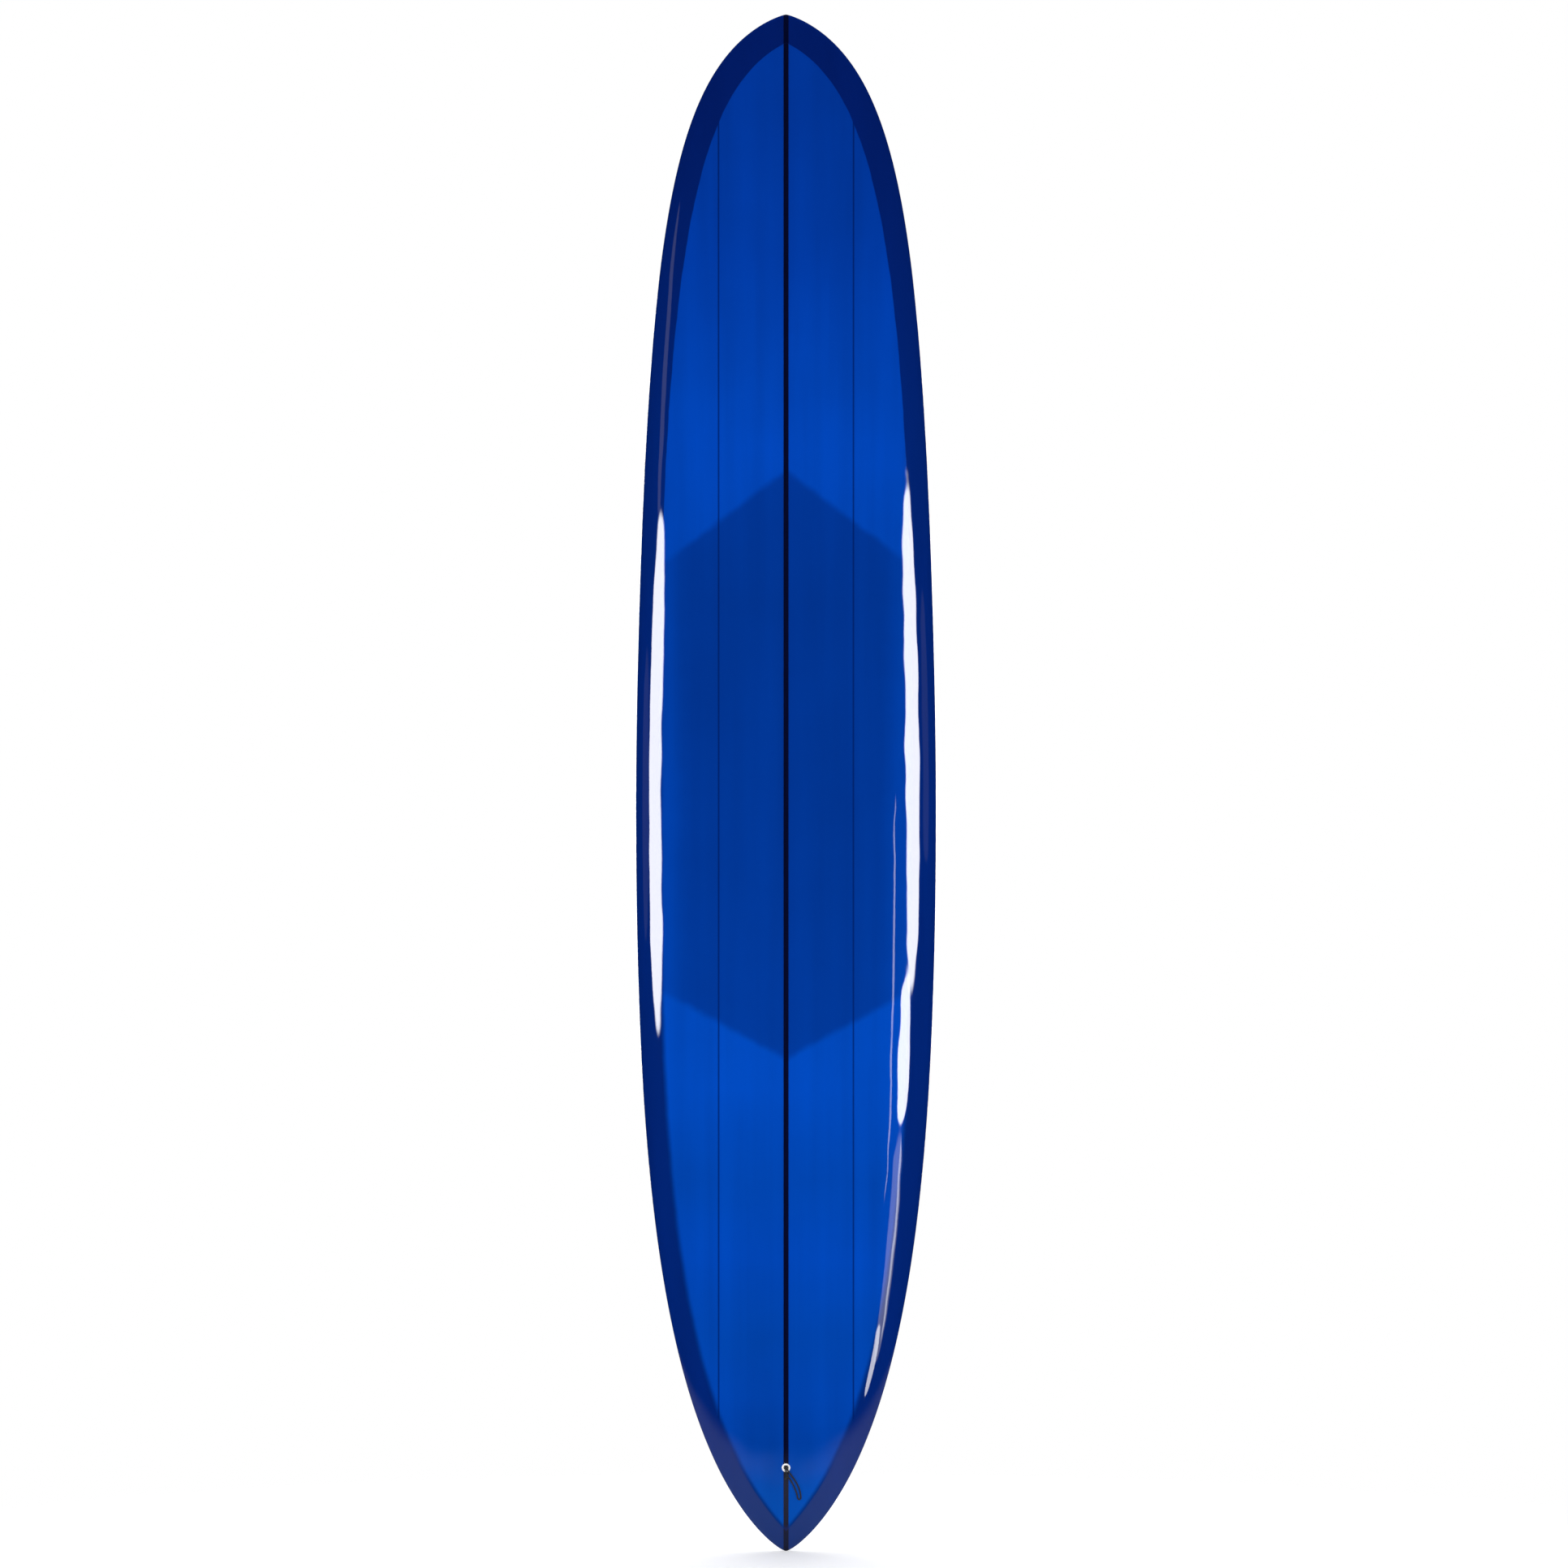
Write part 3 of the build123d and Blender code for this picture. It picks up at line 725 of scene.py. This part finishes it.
def patch_material():
    graph = Graph("patch_cloth")
    cloth = graph.plus(graph.times(weave(graph, CLOTH_PITCH), 0.2), 0.6)
    colour = graph.mix(cloth, rgb(0, 30, 110), rgb(0, 56, 156))
    return graph.finish(colour, roughness=0.3, normal=graph.bump(cloth, 0.0001))


def resin_material():
    graph = Graph("tinted_resin")
    swirl = graph.noise(graph.position, scale=90, detail=3)
    colour = graph.mix(swirl, rgb(0, 34, 104), rgb(0, 48, 140))
    return graph.finish(colour, roughness=0.12, coat=1.0, coat_roughness=0.02)


def plastic_material(name, dark, light, roughness):
    graph = Graph(name)
    grain = graph.noise(graph.position, scale=900, detail=3)
    colour = graph.mix(grain, dark, light)
    rough = graph.blend(grain, 0.3, 0.7, roughness - 0.05, roughness + 0.08)
    return graph.finish(colour, roughness=rough, normal=graph.bump(grain, 0.00003))


def metal_material(name, dark, light, roughness):
    graph = Graph(name)
    brushed = graph.noise(graph.stretch(400, 4000, 4000), detail=3)
    colour = graph.mix(brushed, dark, light)
    rough = graph.blend(brushed, 0.3, 0.7, roughness, roughness + 0.15)
    return graph.finish(colour, roughness=rough, metallic=1.0, normal=graph.bump(brushed, 0.00002))


def fin_material():
    """Glass cloth in many layers, whose edges show as lines where the foil cuts through them."""
    graph = Graph("fin_glass")
    clouds = graph.noise(graph.stretch(9, 9, 9), detail=4)
    layer = graph.math("SINE", graph.times(graph.size(graph.x), 2 * pi / FIN_LAYER))
    edges = graph.times(graph.blend(layer, 0.8, 1.0), 0.35)
    threads = graph.times(weave(graph, FIN_CLOTH_PITCH), 0.06)
    level = graph.plus(threads, graph.plus(1.0, edges))
    colour = graph.scaled(graph.mix(clouds, rgb(0, 22, 84), rgb(0, 44, 128)), level)
    return graph.finish(colour, roughness=0.4, coat=1.0, coat_roughness=0.03, specular=0.3)


def cord_material():
    """Black braided cord: a plait of fine strands, matt and slightly fuzzy, with painted shade that darkens
    the grooves between the strands nearly to black.
    """
    graph = Graph("black_cord")
    fibres = graph.noise(graph.position, scale=2600, detail=3)
    strands = graph.mix(fibres, rgb(12, 13, 16), rgb(46, 48, 54))
    # Painted shade: the colour goes nearly black where the plait is low, in the grooves between the strands.
    colour = graph.mix(graph.blend(graph.attribute("ridge"), 0.15, 0.7), rgb(2, 2, 3), strands)
    return graph.finish(colour, roughness=0.8, normal=graph.bump(fibres, 0.0001), sheen=0.08)


# ---- leash string and its knot, as (x, z, height above the deck) in millimetres, the same as the CAD's
MILLIMETRE = 0.001
KNOT_PLACE = (1.5, 150, 4.4)
STRING_ROUTE = [
    (1.2, 150.4, 4.2),
    (0.2, 156.4, 3.2),
    (0.0, 163.0, 2.6),
    (0.0, 163.1, -8.2),
    (0.0, 168.9, -8.4),
    (0.2, 169.0, 5.8),
    (3.8, 160.6, 7.0),
    (8.8, 153.6, 5.0),
    (13.6, 147.0, 3.0),
    (18.6, 140.0, 2.1),
    (23.0, 131.6, 1.8),
    (26.6, 123.0, 1.8),
    (29.0, 113.8, 1.8),
    (29.8, 103.6, 1.8),
    (23.4, 102.9, 1.8),
    (21.9, 113.3, 1.8),
    (18.4, 123.0, 1.8),
    (14.2, 132.2, 1.9),
    (10.2, 140.2, 2.5),
    (6.2, 145.6, 3.4),
    (2.2, 149.4, 4.4),
]


def over_deck(x, z, height):
    """A point this high above the deck, from millimetres."""
    x, z, height = x * MILLIMETRE, z * MILLIMETRE, height * MILLIMETRE
    return Vector((x, float(deck_y(x, z)) - height, z))


def smooth_line(points, closed=False):
    """Points along the NURBS line that has these control points."""
    data = bpy.data.curves.new("line", "CURVE")
    data.dimensions = "3D"
    data.resolution_u = 24
    spline = data.splines.new("NURBS")
    spline.points.add(len(points) - 1)
    for point, place in zip(spline.points, points):
        point.co = (*place, 1)
    spline.order_u = 3
    spline.use_cyclic_u = closed
    spline.use_endpoint_u = not closed
    curve = bpy.data.objects.new("line", data)
    bpy.context.scene.collection.objects.link(curve)
    mesh = bpy.data.meshes.new_from_object(curve)
    line = [vertex.co.copy() for vertex in mesh.vertices]
    bpy.data.objects.remove(curve)
    return line + line[:1] if closed else line


def even_steps(line, step):
    """The same line with its points an even step apart."""
    line = np.array(line)
    along = np.concatenate([[0], np.cumsum(np.linalg.norm(np.diff(line, axis=0), axis=1))])
    places = np.linspace(0, along[-1], int(round(along[-1] / step)) + 1)
    return np.stack([np.interp(places, along, line[:, axis]) for axis in range(3)], axis=1), places


def plait(turn, place):
    """Height, from 0 to 1, of a round braid's surface: strands of two opposite helices, one over one."""
    first = PLAIT_STRANDS * turn / (2 * pi) + place / PLAIT_PITCH
    second = PLAIT_STRANDS * turn / (2 * pi) - place / PLAIT_PITCH
    parity = np.where((np.round(first) + np.round(second)) % 2 < 1, 1, -1)
    ridges = []
    for along, over, sign in ((first, second, parity), (second, first, -parity)):
        ridge = np.cos(pi * (over - np.round(over)))
        arch = sign * np.cos(pi * (along - np.round(along)))
        ridges.append(0.55 * ridge + 0.45 * arch)
    return np.clip(np.maximum(*ridges), 0, 1)


def cord_rings(line, places, closed, thickness):
    """The points of a ring round the cord at each place along it, and how high the plait is at each point."""
    ahead = np.gradient(line, axis=0)
    if closed:
        ahead = np.roll(line, -1, axis=0) - np.roll(line, 1, axis=0)
    ahead /= np.linalg.norm(ahead, axis=1)[:, None]
    side = np.cross(ahead[0], (0, 1, 0))
    turn = 2 * pi * np.arange(PLAIT_SIDES) / PLAIT_SIDES
    points, ridges = [], []
    for centre, tangent, place in zip(line, ahead, places):
        side = side - tangent * np.dot(side, tangent)
        side /= np.linalg.norm(side)
        up = np.cross(tangent, side)
        ridge = plait(turn, place)
        radius = thickness / 2 * (1 - PLAIT_RELIEF * (1 - ridge))
        points += list(centre + radius[:, None] * (np.cos(turn)[:, None] * side + np.sin(turn)[:, None] * up))
        ridges += list(ridge)
    return points, ridges


def ring_faces(start, rings, closed):
    """Quads that join the rings, whose points begin at start."""
    faces = []
    for number in range(rings if closed else rings - 1):
        a = start + number * PLAIT_SIDES
        b = start + (number + 1) % rings * PLAIT_SIDES
        for k in range(PLAIT_SIDES):
            n = (k + 1) % PLAIT_SIDES
            faces.append((a + k, a + n, b + n, b + k))
    return faces


def braided_tube(name, lines, thickness):
    """One mesh of round braided cord along each line. A line that ends where it began is a closed loop."""
    points, faces, ridges = [], [], []
    for raw in lines:
        line, places = even_steps(raw, PLAIT_PITCH / 4)
        closed = np.linalg.norm(line[0] - line[-1]) < MERGE
        if closed:
            line, places = line[:-1], places[:-1]
        start, count = len(points), len(line)
        ring_points, ring_ridges = cord_rings(line, places, closed, thickness)
        points += ring_points
        ridges += ring_ridges
        faces += ring_faces(start, count, closed)
        if not closed:
            for centre, first in ((line[0], start), (line[-1], start + (count - 1) * PLAIT_SIDES)):
                tip = len(points)
                points.append(centre)
                ridges.append(1)
                faces += [(first + k, first + (k + 1) % PLAIT_SIDES, tip) for k in range(PLAIT_SIDES)]
    piece = mesh_object(name, points, faces)
    piece.data.shade_smooth()
    attribute = piece.data.attributes.new("ridge", "FLOAT", "POINT")
    attribute.data.foreach_set("value", np.array(ridges, np.float32))
    return piece


def knot_lines():
    """The lines of an overhand knot pulled tight, and of the string's two cut ends below it."""
    centre = over_deck(*KNOT_PLACE)
    wide, tall, deep = 0.00095, 0.0013, 0.0013
    loop = []
    for step in range(KNOT_POINTS):
        turn = 2 * pi * step / KNOT_POINTS
        sideways = (sin(turn) + 2 * sin(2 * turn)) * wide
        upward = (cos(turn) - 2 * cos(2 * turn)) * tall
        loop.append(centre + Vector((sideways, sin(3 * turn) * deep, upward)))
    lines = [smooth_line(loop, closed=True)]
    for side, reach in ((-1, 7.5), (1, 5.5)):
        tail = [(side * 0.4, 0, 0), (side * 0.9 - 1, -3, -0.4), (side * 1.3 - 1.6, -reach, -1.6)]
        lines.append(smooth_line([centre + Vector((x, -y, z)) * MILLIMETRE for x, z, y in tail]))
    return lines


# ---- stage
def area_light(name, place, size, radiance, target, glossy=True):
    data = bpy.data.lights.new(name, "AREA")
    data.shape = "RECTANGLE"
    data.size, data.size_y = size
    data.energy = radiance * size[0] * size[1] * pi
    light = bpy.data.objects.new(name, data)
    light.location = place
    light.rotation_euler = (Vector(target) - Vector(place)).to_track_quat("-Z", "Y").to_euler()
    light.visible_camera = False
    light.visible_glossy = glossy
    bpy.context.scene.collection.objects.link(light)
    return data


def softbox(name, place, size, radiance):
    """An upright strip of light with rounded ends, which fades out towards its edges."""
    data = area_light(name, place, size, radiance, (0, 0, place[2]))
    data.use_nodes = True
    tree = data.node_tree

    def math(operation, first, second):
        node = tree.nodes.new("ShaderNodeMath")
        node.operation = operation
        for socket, value in zip(node.inputs, (first, second)):
            if isinstance(value, bpy.types.NodeSocket):
                tree.links.new(value, socket)
            else:
                socket.default_value = value
        return node.outputs[0]

    split = tree.nodes.new("ShaderNodeSeparateXYZ")
    tree.links.new(tree.nodes.new("ShaderNodeNewGeometry").outputs["Parametric"], split.inputs[0])
    sideways, upward = (math("SUBTRACT", math("MULTIPLY", share, 2), 1) for share in split.outputs[:2])
    fade = tree.nodes.new("ShaderNodeMapRange")
    fade.interpolation_type = "SMOOTHSTEP"
    tree.links.new(math("ADD", math("POWER", sideways, 2), math("POWER", upward, 4)), fade.inputs["Value"])
    for socket, value in (("From Min", 1.0), ("From Max", 0.7), ("To Min", 0.0), ("To Max", 1.0)):
        fade.inputs[socket].default_value = value
    tree.links.new(fade.outputs[0], tree.nodes["Emission"].inputs["Strength"])


def make_lights():
    """Narrow strips that the gloss reflects as its highlights, and broad fills that it doesn't reflect."""
    middle = (0, 0, LENGTH / 2)
    front, back = -3.0, 3.8
    for name, x, z, size, radiance in (
        ("left_strip", -2.07, 1.47, (0.68, 1.16), 22),
        ("left_high", -2.20, 2.40, (0.30, 0.80), 0.8),
        ("left_haze", -3.10, 1.45, (0.90, 0.70), 0.3),
        ("right_strip", 1.87, 1.55, (0.56, 1.10), 22),
        ("right_haze", 2.90, 1.60, (0.80, 0.60), 0.3),
        ("right_low_strip", 1.66, 0.89, (0.36, 0.38), 22),
        ("right_foot", 1.62, 0.33, (0.36, 0.74), 2.5),
        ("right_foot_line", 1.70, 0.36, (0.09, 0.66), 7),
        ("right_glints", 1.50, -0.02, (0.20, 0.30), 12),
        ("right_line", 1.31, 1.00, (0.04, 0.95), 6),
    ):
        softbox(name, (x, front, z), size, radiance)
    area_light("front_fill", (0, -5.0, 2.0), (3.0, 2.5), 2.2, middle, glossy=False)
    area_light("top", (0, 1.2, 4.5), (4.0, 4.0), 3.0, (0, 0, 0), glossy=False)
    for name, x in (("back_left_strip", -1.2), ("back_right_strip", 1.2)):
        softbox(name, (x, back, 1.6), (0.30, 2.6), 12)
    area_light("back_fill", (0, 5.0, 2.5), (3.0, 2.5), 3.2, middle, glossy=False)


def make_world():
    """White to the camera, a soft pale fill to the object, and nearly dark in its reflections."""
    world = bpy.data.worlds.new("studio")
    world.use_nodes = True
    tree = world.node_tree
    rays = tree.nodes.new("ShaderNodeLightPath")

    def background(node, colour, strength):
        node.inputs["Color"].default_value = colour
        node.inputs["Strength"].default_value = strength
        return node.outputs[0]

    def choose(ray, others, chosen):
        """One light for rays of a kind, and another for the others."""
        node = tree.nodes.new("ShaderNodeMixShader")
        for socket, light in zip(node.inputs, (rays.outputs[ray], others, chosen)):
            tree.links.new(light, socket)
        return node.outputs[0]

    seen = background(tree.nodes["Background"], (1, 1, 1, 1), 1.0)
    fill = background(tree.nodes.new("ShaderNodeBackground"), (0.9, 0.95, 1, 1), 0.12)
    mirror = background(tree.nodes.new("ShaderNodeBackground"), (0.6, 0.7, 1, 1), 0.02)
    lit = choose("Is Camera Ray", choose("Is Glossy Ray", fill, mirror), seen)
    tree.links.new(lit, tree.nodes["World Output"].inputs["Surface"])
    bpy.context.scene.world = world


def floor_material(fade_from, fade_to):
    """Pale grey, lifted a little for the camera, dimmer in reflections, and clear past fade_to."""
    graph = Graph("pale_floor")
    tone = graph.mix(graph.noise(graph.position, scale=3), (0.86, 0.86, 0.87, 1), (0.90, 0.90, 0.91, 1))
    rays = graph.add("ShaderNodeLightPath").outputs
    graph.put(graph.shader.inputs["Emission Color"], (1, 1, 1, 1))
    graph.put(graph.shader.inputs["Emission Strength"], graph.times(rays["Is Camera Ray"], 0.3))
    away = graph.math("SQRT", graph.plus(graph.math("POWER", graph.x, 2), graph.math("POWER", graph.y, 2)))
    shown = graph.minus(1, graph.times(rays["Is Glossy Ray"], 0.45))
    graph.put(graph.shader.inputs["Alpha"], graph.times(graph.blend(away, fade_to, fade_from), shown))
    return graph.finish(tone, roughness=0.9, specular=0.0)


def make_floor():
    """A round pale floor that fades out into the background."""
    radius, fade_from, fade_to = 2.2, 1.15, 2.0
    steps = 96
    points = [(0, 0, 0)] + [(x, y, 0) for x, y in circle(radius, steps)]
    faces = [(0, 1 + step, 1 + (step + 1) % steps) for step in range(steps)]
    mesh = bpy.data.meshes.new("floor")
    mesh.from_pydata(points, [], faces)
    floor = bpy.data.objects.new("floor", mesh)
    bpy.context.scene.collection.objects.link(floor)
    mesh.materials.append(floor_material(fade_from, fade_to))


# ---- the object
make_camera()
string_line = smooth_line([over_deck(*point) for point in STRING_ROUTE])
string = braided_tube("leash_string_loop", [string_line], CORD)
knot = braided_tube("leash_string_tied_knot", knot_lines(), KNOT_CORD)
cord = cord_material()
for piece, node in ((string, "leash_string"), (knot, "leash_string_knot")):
    piece.data.materials.append(cord)
    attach(piece, "board")
    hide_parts(node)
tuple(over_deck(0, PLUG_HEIGHT / MILLIMETRE, 0))

heights = row_heights()
deck = deck_skin(heights)
wrap = wrap_skin(heights)
cut(deck, circle(CUP_RADIUS), surface_plane(PLUG_HEIGHT, lambda z: float(deck_y(0.0, z)), -1))
cut(wrap, stadium(POCKET_LENGTH, POCKET_WIDTH), surface_plane(BOX_HEIGHT, lambda z: float(bottom_y(z)), 1))
polish(deck, inside_lap=lap_half_width)
polish(wrap, inside_rail=lambda z: half_width(z) - BOTTOM_LAP)
for piece, node, slot, material in (
    (deck, "deck_laminate", "blue_laminate", deck_material()),
    (wrap, "bottom_laminate", "navy_laminate", wrap_material()),
):
    piece.data.materials.clear()
    piece.data.materials.append(material)
    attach(piece, "board")
    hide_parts(node)

foam = foam_material()
steel = metal_material("stainless_steel", rgb(150, 152, 155), rgb(205, 207, 210), 0.22)
brass = metal_material("brass", rgb(168, 130, 66), rgb(214, 178, 104), 0.25)
resin = resin_material()
dark_wood = wood_material("centre_stringer_wood", rgb(8, 8, 14), rgb(28, 25, 36))
side_wood = wood_material("side_stringer_wood", rgb(120, 84, 48), rgb(176, 134, 86))
finishes = {
    "foam_outer_left": foam,
    "foam_inner_left": foam,
    "foam_inner_right": foam,
    "foam_outer_right": foam,
    "centre_stringer": dark_wood,
    "centre_stringer_over_box": dark_wood,
    "centre_stringer_tail": dark_wood,
    "left_stringer": side_wood,
    "right_stringer": side_wood,
    "deck_patch": patch_material(),
    "leash_plug_cup": plastic_material("white_plastic", rgb(247, 247, 245), rgb(254, 254, 254), 0.32),
    "leash_plug_pin": steel,
    "leash_plug_resin_bed": resin,
    "fin_box": plastic_material("black_plastic", rgb(20, 20, 22), rgb(38, 38, 41), 0.5),
    "fin_box_resin_bed": resin,
    "fin": fin_material(),
    "fin_pin": brass,
    "fin_plate": brass,
    "fin_screw": steel,
}
for node, material in finishes.items():
    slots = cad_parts[node].material_slots
    for slot in slots:
        slot.material = material

make_lights()
make_world()
make_floor()
bpy.context.scene.view_settings.view_transform = "Standard"
